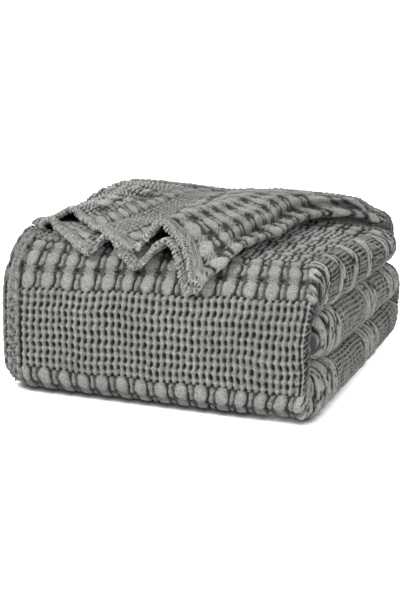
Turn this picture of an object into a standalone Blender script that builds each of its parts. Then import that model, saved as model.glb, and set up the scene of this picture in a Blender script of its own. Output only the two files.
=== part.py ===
"""Waffle weave cotton blanket, folded into a thick stack with one end thrown loosely over the top.

The whole blanket is one sheet of cloth.  Its two sides are folded in to the middle and the whole
is folded in half on that line, which makes a strip of four plies: one big roll along its right
edge, and two small turns along its left.  The strip then runs back and forth: middle layer, round
the back, bottom layer, up the front as one smooth wrap, top layer, and up and over at the back
into the loose end, which comes forward over the top and ends in two waving hems.

The sheet's middle surface is a grid of points: one row for each station along the strip, and one
column for each place across its four plies.  A Solidify modifier gives it the cloth's thickness.
Metres, +Z up.  The origin is under the middle of the stack, on the surface it lies on.  +X is the
side of the big rolls, -Y is the smooth front.
"""
from collections import namedtuple

import bpy
import numpy as np

# ---- the cloth -------------------------------------------------------------------------------
PLY = 0.004                # thickness of the waffle cloth
COLOUR = (0.23, 0.225, 0.215, 1.0)   # mid warm grey
# Places across the two plies that show, and across the two between them, whose hems end
# inside the roll.
ACROSS = (0.0, 0.04, 0.125, 0.25, 0.3125, 0.375, 0.4375, 0.5, 0.5625, 0.625, 0.6875, 0.75, 0.80,
          0.85, 0.93, 1.0)
HIDDEN_ACROSS = (0.0, 0.04, 0.35, 0.65, 0.85, 1.0)
PLIES = ((0.0, ACROSS), (1 / 3, HIDDEN_ACROSS), (2 / 3, HIDDEN_ACROSS), (1.0, ACROSS))
ROLL_STEPS = 8             # facets round the big right-hand roll
TURN_STEPS = 4             # facets round each of the two small turns on the left

# ---- the stack ---------------------------------------------------------------------------------
FRONT_Y = -0.190           # middle of the outermost ply on the front
BACK_Y = 0.128             # where the lower bend at the back begins
OVER_Y = 0.133             # where the upper bend at the back begins
NOSE_Y = -0.152            # front end of the middle layer
NOSE_DEPTH = 0.030         # its plies draw together over this length
NOSE_PINCH = 0.5           # by this share
NOSE_STEPS = 3
FLOOR_Z = PLY / 2          # middle of the ply that lies on the surface
WRAP = 0.0185              # outermost to innermost ply on the front, where the strip is pulled thin
FOOT_R = 0.030             # lower edge of the front
BROW_R = 0.061             # upper edge of the front
NIP_R = 0.0065             # the innermost ply's bends on the front
TIGHTEST = 0.003           # no turn across the strip is tighter than this at its tip

# Heights of the lowest and the highest ply of each layer, at the front and at the back.
Layer = namedtuple("Layer", "low_front low_back high_front high_back")
BOTTOM = Layer(FLOOR_Z, FLOOR_Z, 0.0550, 0.0520)
MIDDLE = Layer(0.0615, 0.0580, 0.1150, 0.0995)
TOP = Layer(0.1245, 0.1065, 0.1700, 0.1460)
THROW_LOW_BACK = 0.1565    # lower and upper ply of the loose end, where it leaves the bend
THROW_HIGH_BACK = 0.176

# The strip's edges, a row for each part of its way: left and right edge, how far the plies run
# together into the right-hand roll, and how far the outermost ply drops towards its left edge.
Side = namedtuple("Side", "left right roll drop")
SIDES = {
    "nose": Side(-0.168, 0.182, 0.026, 0.000),
    "middle": Side(-0.178, 0.190, 0.030, 0.006),
    "back": Side(-0.172, 0.183, 0.030, 0.008),
    "bottom": Side(-0.180, 0.192, 0.030, 0.010),
    "foot": Side(-0.183, 0.181, 0.014, 0.004),
    "wrap": Side(-0.185, 0.183, 0.010, 0.000),
    "brow": Side(-0.182, 0.189, 0.012, -0.012),
    "top": Side(-0.180, 0.189, 0.028, -0.004),
    "over": Side(-0.166, 0.175, 0.026, 0.000),
    "loose": Side(-0.158, 0.172, 0.014, 0.000),
}
EDGE_WIDTH = 0.034         # width of the left edge that drops, and is drawn back at the front
GROOVE = 0.020             # how far the front's left edge is drawn back
GROOVE_FULL_Y = -0.165     # in front of this it is drawn back in full
GROOVE_END_Y = -0.110      # and behind this not at all
LEFT_TURN = 0.005          # how far the small turns on the left reach out
HEM_REACH = 0.45           # how far into the roll the two hidden hems go, as a share of it

# A bend is an arc for the outermost ply and one for the innermost, each about its own centre.
Bend = namedtuple("Bend", "name steps start end out_y out_z out_r in_y in_z in_r")
BENDS = (
    Bend("back", 6, 90, -90,
         BACK_Y, (MIDDLE.high_back + FLOOR_Z) / 2, (MIDDLE.high_back - FLOOR_Z) / 2,
         BACK_Y, (MIDDLE.low_back + BOTTOM.high_back) / 2,
         (MIDDLE.low_back - BOTTOM.high_back) / 2),
    Bend("foot", 4, -90, -180,
         FRONT_Y + FOOT_R, FLOOR_Z + FOOT_R, FOOT_R,
         FRONT_Y + WRAP + NIP_R, BOTTOM.high_front + NIP_R, NIP_R),
    Bend("brow", 5, 180, 90,
         FRONT_Y + BROW_R, TOP.high_front - BROW_R, BROW_R,
         FRONT_Y + WRAP + NIP_R, TOP.low_front - NIP_R, NIP_R),
    Bend("over", 6, -90, 90,
         OVER_Y, (TOP.high_back + THROW_LOW_BACK) / 2, (THROW_LOW_BACK - TOP.high_back) / 2,
         OVER_Y, (TOP.low_back + THROW_HIGH_BACK) / 2, (THROW_HIGH_BACK - TOP.low_back) / 2),
)
LEG_STEPS = {"middle": 3, "bottom": 3, "wrap": 2, "top": 3}

# ---- the loose end -------------------------------------------------------------------------------
WAYS = (0.06, 0.15, 0.29, 0.43, 0.56, 0.68, 0.79, 0.88, 0.95, 1.0)   # places along it
HIDDEN_STEPS = 1           # the two inner plies stop after so many of them, out of sight
LIE_LOW = 0.0070           # lower and upper ply above the top layer, near the hems
LIE_HIGH = 0.0200
RIDGE_END = 4              # the ridges die out towards the hems with this power of the way
RISE_LATE = 4              # how late in the last bend the ridges begin
FADE_LOW = 2.0             # how fast the waves of the two hems die out towards the back
FADE_HIGH = 1.1

# The two hems, a row for each crest, trough and slope, from the left edge to the right fold.
Hem = namedtuple("Hem", "low_x low_y low_z high_x high_y high_z")
HEMS = (
    Hem(-0.184, -0.090, 0.173, -0.172, -0.060, 0.178),
    Hem(-0.160, -0.102, 0.180, -0.146, -0.078, 0.192),     # first crest of both
    Hem(-0.125, -0.137, 0.177, -0.120, -0.092, 0.188),
    Hem(-0.081, -0.169, 0.168, -0.084, -0.128, 0.187),     # trough of the lower hem
    Hem(-0.069, -0.146, 0.175, -0.033, -0.167, 0.179),     # trough of the upper hem
    Hem(-0.021, -0.176, 0.159, -0.018, -0.157, 0.192),
    Hem(0.009, -0.161, 0.189, 0.000, -0.154, 0.208),       # second crest of both
    Hem(0.034, -0.178, 0.156, 0.033, -0.168, 0.187),
    Hem(0.045, -0.189, 0.141, 0.050, -0.190, 0.157),       # where both run into the corner
)
# The right-hand fold of the loose end leaves the straight line between its ends by so much.
Bow = namedtuple("Bow", "way aside")
FOLD_BOW = (
    Bow(0.00, 0.000), Bow(0.06, -0.042), Bow(0.15, -0.055), Bow(0.31, -0.049), Bow(0.45, -0.038),
    Bow(0.64, -0.016), Bow(0.84, 0.011), Bow(0.93, 0.013), Bow(1.00, 0.000),
)
# Soft ridges and valleys that run along the loose end: place across, width, and height where it
# leaves the bend and at the hems.
Ridge = namedtuple("Ridge", "across width back front")
RIDGES = (
    Ridge(0.00, 0.06, -0.003, 0.000),
    Ridge(0.18, 0.12, 0.001, 0.003),
    Ridge(0.80, 0.16, 0.006, 0.002),
    Ridge(0.92, 0.05, -0.003, -0.006),
    Ridge(1.00, 0.04, -0.004, 0.004),
)


def blend(a, b, share):
    """A share of the way from a to b."""
    return a + (b - a) * share


def ridges(across, way, share):
    """Height of the ridges and valleys across the loose end, at a share of its way.

    The lower ply (share 0) lies on the stack, so it has the ridges and not the valleys.
    """
    height = np.zeros(len(across))
    for ridge in RIDGES:
        bell = np.exp(-((across - ridge.across) / ridge.width) ** 2)
        height += bell * blend(ridge.back, ridge.front, way)
    return blend(np.maximum(height, 0.0), height, share)


def bend_stations(bend):
    """Rows of (out_y, out_z, in_y, in_z) round one bend."""
    angle = np.radians(np.linspace(bend.start, bend.end, bend.steps + 1))
    return np.stack([bend.out_y + bend.out_r * np.cos(angle),
                     bend.out_z + bend.out_r * np.sin(angle),
                     bend.in_y + bend.in_r * np.cos(angle),
                     bend.in_z + bend.in_r * np.sin(angle)], axis=1)


def leg_stations(start, end, steps):
    """The stations between two bends, the bends' own left out."""
    share = np.arange(1, steps)[:, None] / steps
    return blend(start, end, share)


def nose_stations():
    """The front end of the middle layer, where its plies draw together by half."""
    middle_z = (MIDDLE.low_front + MIDDLE.high_front) / 2
    half = (MIDDLE.high_front - MIDDLE.low_front) / 2
    rows = []
    for share in np.linspace(0.0, 1.0, NOSE_STEPS + 1):
        swell = half * (1 - NOSE_PINCH * (1 - share) ** 2)
        y = NOSE_Y + NOSE_DEPTH * share
        rows.append((y, middle_z + swell, y, middle_z - swell))
    return np.array(rows)


def strip_stations():
    """All stations up to the loose end, with the edges' values and the ridges' rise at each."""
    back, foot, brow, over = (bend_stations(bend) for bend in BENDS)
    nose = nose_stations()
    legs = {
        "middle": leg_stations(nose[-1], back[0], LEG_STEPS["middle"]),
        "bottom": leg_stations(back[-1], foot[0], LEG_STEPS["bottom"]),
        "wrap": leg_stations(foot[-1], brow[0], LEG_STEPS["wrap"]),
        "top": leg_stations(brow[-1], over[0], LEG_STEPS["top"]),
    }
    blocks = [("nose", nose), ("middle", legs["middle"]), ("back", back),
              ("bottom", legs["bottom"]), ("foot", foot), ("wrap", legs["wrap"]),
              ("brow", brow), ("top", legs["top"]), ("over", over)]
    places, names, first = [], [], 0
    for name, rows in blocks:
        places.append(first + (len(rows) - 1) / 2 if name != "nose" else 0)
        names.append(name)
        first += len(rows)
    places.append(first - 1)
    names.append("loose")
    stations = np.concatenate([rows for _, rows in blocks])
    index = np.arange(len(stations))
    columns = zip(*(SIDES[name] for name in names))
    edges = np.stack([np.interp(index, places, column) for column in columns], axis=1)
    rise = np.zeros(len(stations))
    rise[-len(over):] = np.linspace(0, 1, len(over)) ** RISE_LATE
    return stations, edges, rise


def near_left(x, left):
    """0 inside the strip, rising as a quarter circle to 1 at its left edge."""
    q = np.clip((left + EDGE_WIDTH - x) / EDGE_WIDTH, 0.0, 1.0)
    return 1.0 - np.sqrt(1.0 - q * q)


def leg_ply(station, edge, rise, share, across):
    """Points at places across one ply at one station.

    share is 0 on the outermost ply and 1 on the innermost.  The last point of the plies between
    them is a hem, inside the roll.  rise grows from 0 to 1 round the last bend, so that the
    ridges of the loose end begin there.
    """
    side = Side(*edge)
    out_point, in_point = station[:2], station[2:]
    across = np.array(across)
    x = blend(side.left + LEFT_TURN, side.right - side.roll, across)
    if 0 < share < 1:
        x[-1] += HEM_REACH * side.roll * (1 - rise)
    outward = (out_point - in_point) / np.linalg.norm(out_point - in_point)
    at_edge = near_left(x, side.left)
    yz = blend(out_point, in_point, share) - outward * side.drop * (1 - share) * at_edge[:, None]
    back = np.interp(yz[:, 0], (GROOVE_FULL_Y, GROOVE_END_Y), (GROOVE, 0.0))
    y = yz[:, 0] + back * at_edge
    z = yz[:, 1] + rise * ridges(across, 0.0, share)
    return np.column_stack([x, y, z])


def through(rows, places):
    """A smooth curve through evenly spaced rows (Catmull-Rom), read at places from 0 to 1."""
    rows = np.asarray(rows)
    padded = np.vstack([2 * rows[0] - rows[1], rows, 2 * rows[-1] - rows[-2]])
    t = np.asarray(places) * (len(rows) - 1)
    i = np.minimum(t.astype(int), len(rows) - 2)
    s = (t - i)[:, None]
    a, b, c, d = (padded[i + k] for k in range(4))
    return 0.5 * (2 * b + (c - a) * s + (2 * a - 5 * b + 4 * c - d) * s ** 2
                  + (3 * b - a - 3 * c + d) * s ** 3)


def top_centre(x, y):
    """How far y is in front of the top layer's front edge, and the height of its arc's centre."""
    before = np.maximum(FRONT_Y + BROW_R - y, 0.0)
    behind = np.maximum(y - FRONT_Y - BROW_R, 0.0)
    slope = (TOP.high_back - TOP.high_front) / (OVER_Y - FRONT_Y - BROW_R)
    drop = SIDES["top"].drop * near_left(x, SIDES["top"].left)
    return before, TOP.high_front - BROW_R + slope * behind - drop


def top_height(x, y, above):
    """Height of the point at a distance above the top layer's outermost ply."""
    before, centre = top_centre(x, y)
    return centre + np.sqrt((BROW_R + above) ** 2 - before ** 2)


def above_top(x, y, z):
    """The distance of a point above the top layer's outermost ply."""
    before, centre = top_centre(x, y)
    return np.hypot(before, z - centre) - BROW_R


def loose_ply(way, share, across):
    """Points at places across one ply of the loose end, a share of its way to the hems.

    share is 0 on the lower ply and 1 on the upper.
    """
    across = np.array(across)
    side = SIDES["loose"]
    back_x = blend(side.left + LEFT_TURN, side.right - side.roll, across)
    hems = np.array(HEMS)
    hem = blend(hems[:, :3], hems[:, 3:], share)
    hem[:, 2] = above_top(*hem.T)
    hem = through(hem, across)
    bow = np.interp(way, [row.way for row in FOLD_BOW], [row.aside for row in FOLD_BOW])
    x = blend(back_x, hem[:, 0], way) + bow * across
    y = blend(OVER_Y, hem[:, 1], way)
    lie_front = blend(LIE_LOW, LIE_HIGH, share)
    lie_back = blend(THROW_LOW_BACK, THROW_HIGH_BACK, share) - TOP.high_back
    wave = (hem[:, 2] - lie_front) * way ** blend(FADE_LOW, FADE_HIGH, share)
    above = blend(lie_back, lie_front, way) + wave
    z = top_height(x, y, above) + ridges(across, way, share) * (1 - way ** RIDGE_END)
    return np.column_stack([x, y, z])


def half_turn(start, end, reach, steps):
    """Points on half an ellipse from start to end, bulging along x by reach, ends left out."""
    angle = np.linspace(0, np.pi, steps + 1)[1:-1, None]
    middle, half = (start + end) / 2, (end - start) / 2
    most = half @ half / TIGHTEST
    bulge = np.array([np.clip(reach, -most, most), 0, 0])
    return middle - half * np.cos(angle) + bulge * np.sin(angle)


def across_strip(plies, roll):
    """One row of the grid, along the sheet from hem to hem across the four plies.

    It starts at the hem of the second ply, hidden beside the roll, turns on the left to the
    first, which is outermost, rolls round on the right to the fourth, and turns on the left to
    the third and its hem.
    """
    first, second, third, fourth = plies
    return np.vstack([
        second[::-1],
        half_turn(second[0], first[0], -LEFT_TURN, TURN_STEPS),
        first,
        half_turn(first[-1], fourth[-1], roll, ROLL_STEPS),
        fourth[::-1],
        half_turn(fourth[0], third[0], -LEFT_TURN, TURN_STEPS),
        third,
    ])


def sheet_grid():
    """The sheet's middle surface: rows along the strip, columns across it.

    The tables above are about the strip's own middle; the grid is moved so that the middle of
    its box is at x = y = 0.
    """
    rows = [across_strip([leg_ply(station, edge, rise, *ply) for ply in PLIES], Side(*edge).roll)
            for station, edge, rise in zip(*strip_stations())]
    rows += [across_strip([loose_ply(way, *ply) for ply in PLIES], SIDES["loose"].roll)
             for way in WAYS]
    grid = np.array(rows)
    low, high = grid.min(axis=(0, 1)), grid.max(axis=(0, 1))
    return grid - ((low[0] + high[0]) / 2, (low[1] + high[1]) / 2, 0.0)


def sheet_quads(rows, columns):
    """Corner numbers of the grid's quads, without the hidden plies' share of the loose end."""
    corner = np.arange(rows * columns).reshape(rows, columns)
    quads = np.stack([corner[:-1, :-1], corner[:-1, 1:], corner[1:, 1:], corner[1:, :-1]], axis=-1)
    hidden = len(HIDDEN_ACROSS) + TURN_STEPS - 1
    last = rows - 1 - len(WAYS) + HIDDEN_STEPS
    return np.concatenate([quads[:last].reshape(-1, 4), quads[last:, hidden:-hidden].reshape(-1, 4)])


def cloth_material():
    """Washed cotton, mid warm grey and matt."""
    material = bpy.data.materials.new("washed_cotton")
    material.use_nodes = True
    shader = material.node_tree.nodes["Principled BSDF"]
    shader.inputs["Base Color"].default_value = COLOUR
    shader.inputs["Roughness"].default_value = 0.95
    shader.inputs["Metallic"].default_value = 0.0
    return material


def build_blanket(collection):
    """The open sheet as quads, made solid by Solidify."""
    grid = sheet_grid()
    quads = sheet_quads(*grid.shape[:2])
    used, numbers = np.unique(quads, return_inverse=True)
    mesh = bpy.data.meshes.new("blanket")
    mesh.from_pydata(grid.reshape(-1, 3)[used].tolist(), [], numbers.reshape(-1, 4).tolist())
    mesh.materials.append(cloth_material())
    blanket = bpy.data.objects.new("blanket", mesh)
    collection.objects.link(blanket)
    thickness = blanket.modifiers.new("thickness", "SOLIDIFY")
    thickness.thickness = PLY
    thickness.offset = 0.0
    thickness.use_even_offset = True
    return blanket


def main():
    for old in list(bpy.data.objects):
        bpy.data.objects.remove(old, do_unlink=True)
    collection = bpy.data.collections.new("waffle_blanket")
    bpy.context.scene.collection.children.link(collection)
    build_blanket(collection)


main()
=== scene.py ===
# %% [markdown]
# # A waffle weave cotton blanket, folded and thrown
#
# This lesson dresses a folded blanket.  The rough solid comes from the CAD model; here it gets its
# real cloth: stonewashed cotton whose threads stand up in ribs of beads with deep pits between
# them, broken by bands of smooth oval puffs.
#
# The blanket is one sheet, folded lengthways into a strip of four plies.  The strip runs back and
# forth: middle layer, round the back, bottom layer, up the front, top layer, and over at the back
# into a loose end that comes forward and ends in two waving hems.  The plan: work out the folded
# sheet as grids of points and the weave as a height over the flat cloth, and add the two.

# %% The frame
import math
from collections import namedtuple

import bpy
import numpy as np
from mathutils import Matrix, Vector


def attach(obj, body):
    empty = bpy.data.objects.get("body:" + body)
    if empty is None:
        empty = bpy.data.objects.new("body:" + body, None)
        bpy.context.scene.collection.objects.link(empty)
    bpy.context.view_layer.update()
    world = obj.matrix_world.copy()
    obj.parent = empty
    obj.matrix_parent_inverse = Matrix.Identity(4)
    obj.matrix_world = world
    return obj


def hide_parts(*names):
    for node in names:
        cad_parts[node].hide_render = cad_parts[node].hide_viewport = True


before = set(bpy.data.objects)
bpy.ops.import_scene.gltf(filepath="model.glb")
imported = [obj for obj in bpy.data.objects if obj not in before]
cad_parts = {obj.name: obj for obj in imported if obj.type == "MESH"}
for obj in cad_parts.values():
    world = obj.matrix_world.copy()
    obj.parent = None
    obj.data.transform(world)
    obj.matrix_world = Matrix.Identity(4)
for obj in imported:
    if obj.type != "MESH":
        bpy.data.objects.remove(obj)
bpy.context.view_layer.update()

# %% [markdown]
# ## Camera, floor and light
#
# The camera stands a little to the right of the smooth front and looks slightly down on it, from
# far away, through a long lens, so that the stack looks nearly as it would on a drawing board.

# %% Camera
CAMERA_AZIMUTH = 20.83
CAMERA_ELEVATION = 17.26
CAMERA_DISTANCE = 3.037
CAMERA_LENS = 153.9
LOOKED_AT = Vector((-0.0128, 0.006625, 0.0723))


def make_camera():
    """A camera on a circle round the point that it looks at."""
    turn, rise = math.radians(CAMERA_AZIMUTH), math.radians(CAMERA_ELEVATION)
    back = Vector((math.sin(turn) * math.cos(rise), -math.cos(turn) * math.cos(rise), math.sin(rise)))
    data = bpy.data.cameras.new("camera")
    data.lens = CAMERA_LENS
    data.sensor_width = 36.0
    data.clip_end = 50.0
    camera = bpy.data.objects.new("camera", data)
    bpy.context.scene.collection.objects.link(camera)
    camera.location = LOOKED_AT + back * CAMERA_DISTANCE
    camera.rotation_euler = (-back).to_track_quat("-Z", "Y").to_euler()
    bpy.context.scene.camera = camera
    return camera


camera = make_camera()
print("camera at", np.round(camera.location, 3).tolist())

# %% [markdown]
# A pale floor without an edge: a wide plane that glows a little itself, so that it stays nearly
# white, with a painted shadow that darkens it close beside the stack.  A big soft lamp from the upper
# left and weaker ones from the right and from behind give the folds their shape.

# %% Floor, sky and lamps
FLOOR_GLOW = 0.93           # its square is the glow
CONTACT_REACH = 0.007       # of the painted dark line under the edge
SHADE_REACH = 0.013         # of the painted soft shade around it
SKY_SEEN = 1.05
SKY_LIGHT = 0.56
KEY_POWER = 58.0
FILL_POWER = 37.0
BACK_POWER = 32.0
WHITE = (1.0, 1.0, 1.0, 1.0)
FLOOR_HALF = 6.0
FLOOR_PLACE = (0.0, 0.0, -0.0005)     # a hair under the cloth


def set_inputs(node, values):
    """Fixed values for a node's inputs."""
    for name, value in values.items():
        node.inputs[name].default_value = value


def new_node(tree, kind, values=None, operation=None):
    """A new shader node, with fixed values for its inputs and what it works out."""
    node = tree.nodes.new("ShaderNode" + kind)
    set_inputs(node, values or {})
    if operation:
        node.operation = operation
    return node


def make_floor():
    """A wide plane that glows only as seen by the camera, so that it lights nothing from below,
    and has a painted shadow: it is darker and glows less where something stands close to it."""
    mesh = bpy.data.meshes.new("floor")
    signs = ((-1, -1), (1, -1), (1, 1), (-1, 1))
    mesh.from_pydata([(x * FLOOR_HALF, y * FLOOR_HALF, 0) for x, y in signs], [], [(0, 1, 2, 3)])
    material = bpy.data.materials.new("pale_floor")
    material.use_nodes = True
    tree = material.node_tree
    shader = tree.nodes["Principled BSDF"]
    set_inputs(shader, {"Roughness": 0.9, "Specular IOR Level": 0.0, "Emission Color": WHITE})
    path = new_node(tree, "LightPath")
    glow = new_node(tree, "Math", operation="MULTIPLY")
    tree.links.new(path.outputs["Is Camera Ray"], glow.inputs[0])
    shade = new_node(tree, "VectorMath", operation="MULTIPLY")
    # painted shadow: two ambient occlusion nodes darken the floor's colour and glow near the cloth
    for socket, reach in zip(shade.inputs[:2], (CONTACT_REACH, SHADE_REACH)):
        painted_contact_shadow = new_node(tree, "AmbientOcclusion",
                            {"Distance": reach, "Color": (FLOOR_GLOW, FLOOR_GLOW, FLOOR_GLOW, 1.0)})
        tree.links.new(painted_contact_shadow.outputs["Color"], socket)
    tree.links.new(shade.outputs["Vector"], glow.inputs[1])
    tree.links.new(shade.outputs["Vector"], shader.inputs["Base Color"])
    tree.links.new(glow.outputs["Value"], shader.inputs["Emission Strength"])
    mesh.materials.append(material)
    floor = bpy.data.objects.new("floor", mesh)
    floor.location = FLOOR_PLACE
    bpy.context.scene.collection.objects.link(floor)


def make_sky():
    """White to look at, and dimmer as a light."""
    world = bpy.data.worlds.new("studio")
    world.use_nodes = True
    nodes, links = world.node_tree.nodes, world.node_tree.links
    seen = new_node(world.node_tree, "Background", {"Strength": SKY_SEEN, "Color": WHITE})
    path = new_node(world.node_tree, "LightPath")
    mix = new_node(world.node_tree, "MixShader")
    lit = nodes["Background"]
    set_inputs(lit, {"Strength": SKY_LIGHT, "Color": WHITE})
    links.new(path.outputs["Is Camera Ray"], mix.inputs["Fac"])
    links.new(lit.outputs["Background"], mix.inputs[1])
    links.new(seen.outputs["Background"], mix.inputs[2])
    links.new(mix.outputs["Shader"], nodes["World Output"].inputs["Surface"])
    bpy.context.scene.world = world


def make_lamp(name, place, size, power):
    """A square soft lamp that faces the middle of the stack."""
    data = bpy.data.lights.new(name, "AREA")
    data.size = size
    data.energy = power
    lamp = bpy.data.objects.new(name, data)
    lamp.location = place
    aim = Vector((0.0, 0.0, 0.1)) - Vector(place)
    lamp.rotation_euler = aim.to_track_quat("-Z", "Y").to_euler()
    bpy.context.scene.collection.objects.link(lamp)


make_floor()
make_sky()
make_lamp("key", (-1.1, -1.2, 1.9), 0.8, KEY_POWER)
make_lamp("fill", (1.6, -1.8, 1.2), 1.6, FILL_POWER)
make_lamp("back", (-1.0, 1.6, 2.2), 1.8, BACK_POWER)
bpy.context.scene.view_settings.view_transform = "Standard"
print("floor, sky and three lamps")

# %% [markdown]
# ## The fold
#
# A section across the strip is the same everywhere: a small turn on the left, the outermost ply, one
# big roll on the right, the innermost ply, another small turn, and two hidden plies in between.
# So the shape is known once the outermost and the innermost ply are known along the strip.
#
# Each station of the strip is four numbers: y and z of the outermost ply and y and z of the
# innermost.  Legs are straight between two stations, bends are arcs.

# %% Sizes of the stack
FRONT_Y = -0.190           # the smooth front
BACK_Y = 0.128             # where the bend round the back begins
OVER_Y = 0.133             # where the bend over to the loose end begins
NOSE_Y = -0.146            # the front end of the middle layer
NOSE_DEPTH = 0.030         # its plies draw together over this length
NOSE_PINCH = 0.5           # by this share
NOSE_TIP = 0.018           # and in front of that it is tucked in
FLOOR_Z = 0.0025
WRAP = 0.0185              # thickness of the four plies up the front
FOOT_R = 0.030             # radius of the bend below the front
BROW_R = 0.061             # and above it
NIP_R = 0.0065             # of the innermost ply there
TIGHTEST = 0.003           # of all turns
Layer = namedtuple("Layer", "low_front low_back high_front high_back")
BOTTOM = Layer(FLOOR_Z, FLOOR_Z, 0.0550, 0.0520)
MIDDLE = Layer(0.0615, 0.0580, 0.1150, 0.0995)
TOP = Layer(0.1245, 0.1065, 0.1700, 0.1460)
THROW_LOW_BACK = 0.1565
THROW_HIGH_BACK = 0.176
LEFT_TURN = 0.005
HEM_REACH = 0.45           # share of the roll that the hidden hems reach into
EDGE_WIDTH = 0.034         # of the rounded left edge
GROOVE = 0.020             # depth of the groove at the front's left edge
GROOVE_FULL_Y = -0.165
GROOVE_END_Y = -0.110
CENTRE = np.array([0.002, -0.006625, 0.0])   # taken off at the end, so that the box is centred
print("the top layer lies", TOP.low_front, "to", TOP.high_front, "m up at the front")

# %% The strip's edges, by steps along the strip
Side = namedtuple("Side", "step left right roll drop")
SIDES = (
    Side(0.0, -0.168, 0.182, 0.026, 0.000),
    Side(4.5, -0.178, 0.190, 0.030, 0.006),
    Side(9.0, -0.172, 0.183, 0.030, 0.008),
    Side(13.5, -0.180, 0.192, 0.030, 0.010),
    Side(17.0, -0.183, 0.181, 0.014, 0.004),
    Side(20.0, -0.185, 0.183, 0.010, 0.000),
    Side(23.5, -0.181, 0.189, 0.012, -0.016),
    Side(27.5, -0.180, 0.189, 0.028, -0.022),
    Side(32.0, -0.166, 0.175, 0.026, 0.000),
    Side(35.0, -0.158, 0.172, 0.014, 0.000),
)


def eased(x, places, values):
    """Through the table's rows, level at each: a + (b - a) s^2 (3 - 2 s) between two of them."""
    places, values = np.asarray(places), np.asarray(values)
    i = np.clip(np.searchsorted(places, x, side="right") - 1, 0, len(places) - 2)
    s = np.clip((x - places[i]) / (places[i + 1] - places[i]), 0.0, 1.0)
    s = s.reshape(s.shape + (1,) * (values.ndim - 1))
    return values[i] + (values[i + 1] - values[i]) * s * s * (3 - 2 * s)


def sides_at(steps):
    """Left and right edge, roll and drop at steps along the strip."""
    places, *edges = np.array(SIDES).T
    return [eased(steps, places, edge) for edge in edges]


print("the strip is", round(max(side.right - side.left for side in SIDES), 3), "m wide at the most")

# %% Legs and bends of the strip
def arc(share, start, end, out_circle, in_circle):
    """Round one bend: each ply turns about its own centre (y, z) with its own radius."""
    angle = np.radians(start + (end - start) * share)
    (oy, oz, orad), (iy, iz, irad) = out_circle, in_circle
    return np.stack([oy + orad * np.cos(angle), oz + orad * np.sin(angle),
                     iy + irad * np.cos(angle), iz + irad * np.sin(angle)], axis=1)


def straight(share, start, end):
    """Between two stations: start + (end - start) share."""
    start, end = np.asarray(start), np.asarray(end)
    return start + (end - start) * share[:, None]


def nose(share):
    """The front end of the middle layer: its plies draw together as a parabola."""
    middle_z = (MIDDLE.low_front + MIDDLE.high_front) / 2
    half = (MIDDLE.high_front - MIDDLE.low_front) / 2 * (1 - NOSE_PINCH * (1 - share) ** 2)
    y = NOSE_Y + NOSE_DEPTH * share
    return np.stack([y, middle_z + half, y, middle_z - half], axis=1)


def nose_tip(share):
    """In front of that they close as a quarter of an ellipse."""
    first = nose(np.zeros(1))[0]
    angle = (1 - share) * math.pi / 2
    middle_z = (first[1] + first[3]) / 2
    half = (first[1] - first[3]) / 2 * np.maximum(np.cos(angle), 0.03)
    y = NOSE_Y - NOSE_TIP * np.sin(angle)
    return np.stack([y, middle_z + half, y, middle_z - half], axis=1)


def between(y, high, low):
    """The half circle between two heights: y and z of its centre, and its radius."""
    return y, (high + low) / 2, (high - low) / 2


BACK_BEND = (90, -90, between(BACK_Y, MIDDLE.high_back, FLOOR_Z),
             between(BACK_Y, MIDDLE.low_back, BOTTOM.high_back))
FOOT_BEND = (-90, -180, (FRONT_Y + FOOT_R, FLOOR_Z + FOOT_R, FOOT_R),
             (FRONT_Y + WRAP + NIP_R, BOTTOM.high_front + NIP_R, NIP_R))
BROW_BEND = (180, 90, (FRONT_Y + BROW_R, TOP.high_front - BROW_R, BROW_R),
             (FRONT_Y + WRAP + NIP_R, TOP.low_front - NIP_R, NIP_R))
OVER_BEND = (-90, 90, between(OVER_Y, THROW_LOW_BACK, TOP.high_back),
             between(OVER_Y, THROW_HIGH_BACK, TOP.low_back))
ENDS = np.array([0.0, 1.0])
back_ends, foot_ends, brow_ends, over_ends = (
    arc(ENDS, *bend) for bend in (BACK_BEND, FOOT_BEND, BROW_BEND, OVER_BEND))
nose_ends = nose(ENDS)

# Each stretch: its first and last step, and the function that gives its stations.
STRETCHES = {
    "nose_tip": (0, 0, nose_tip),
    "nose": (0, 3, nose),
    "middle": (3, 6, lambda s: straight(s, nose_ends[1], back_ends[0])),
    "back": (6, 12, lambda s: arc(s, *BACK_BEND)),
    "bottom": (12, 15, lambda s: straight(s, back_ends[1], foot_ends[0])),
    "foot": (15, 19, lambda s: arc(s, *FOOT_BEND)),
    "wrap": (19, 21, lambda s: straight(s, foot_ends[1], brow_ends[0])),
    "brow": (21, 26, lambda s: arc(s, *BROW_BEND)),
    "top": (26, 29, lambda s: straight(s, brow_ends[1], over_ends[0])),
    "over": (29, 35, lambda s: arc(s, *OVER_BEND)),
}
print("the strip has", len(STRETCHES), "stretches")


def stretch_length(name):
    """Length of the longer of the two plies."""
    stations = STRETCHES[name][2](np.linspace(0, 1, 65))
    step = np.diff(stations, axis=0)
    return max(np.hypot(step[:, 0], step[:, 1]).sum(), np.hypot(step[:, 2], step[:, 3]).sum())


# Where each stretch begins along the cloth, from the front end of the middle layer.
begins, length = {}, 0.0
for name in STRETCHES:
    if name != "nose_tip":
        begins[name] = length
        length += stretch_length(name)
begins["nose_tip"] = -stretch_length("nose_tip")
begins["loose"] = length
print("the strip is", round(length, 3), "m long up to the loose end;",
      {name: round(place, 3) for name, place in begins.items()})

# %% [markdown]
# The ply between two edges is easy: a share of the way from the left turn to the roll.  The left
# edge is special.  It is rounded down a little, and on the front it is drawn back into a groove,
# where the cloth goes round the stack's corner.

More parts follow.
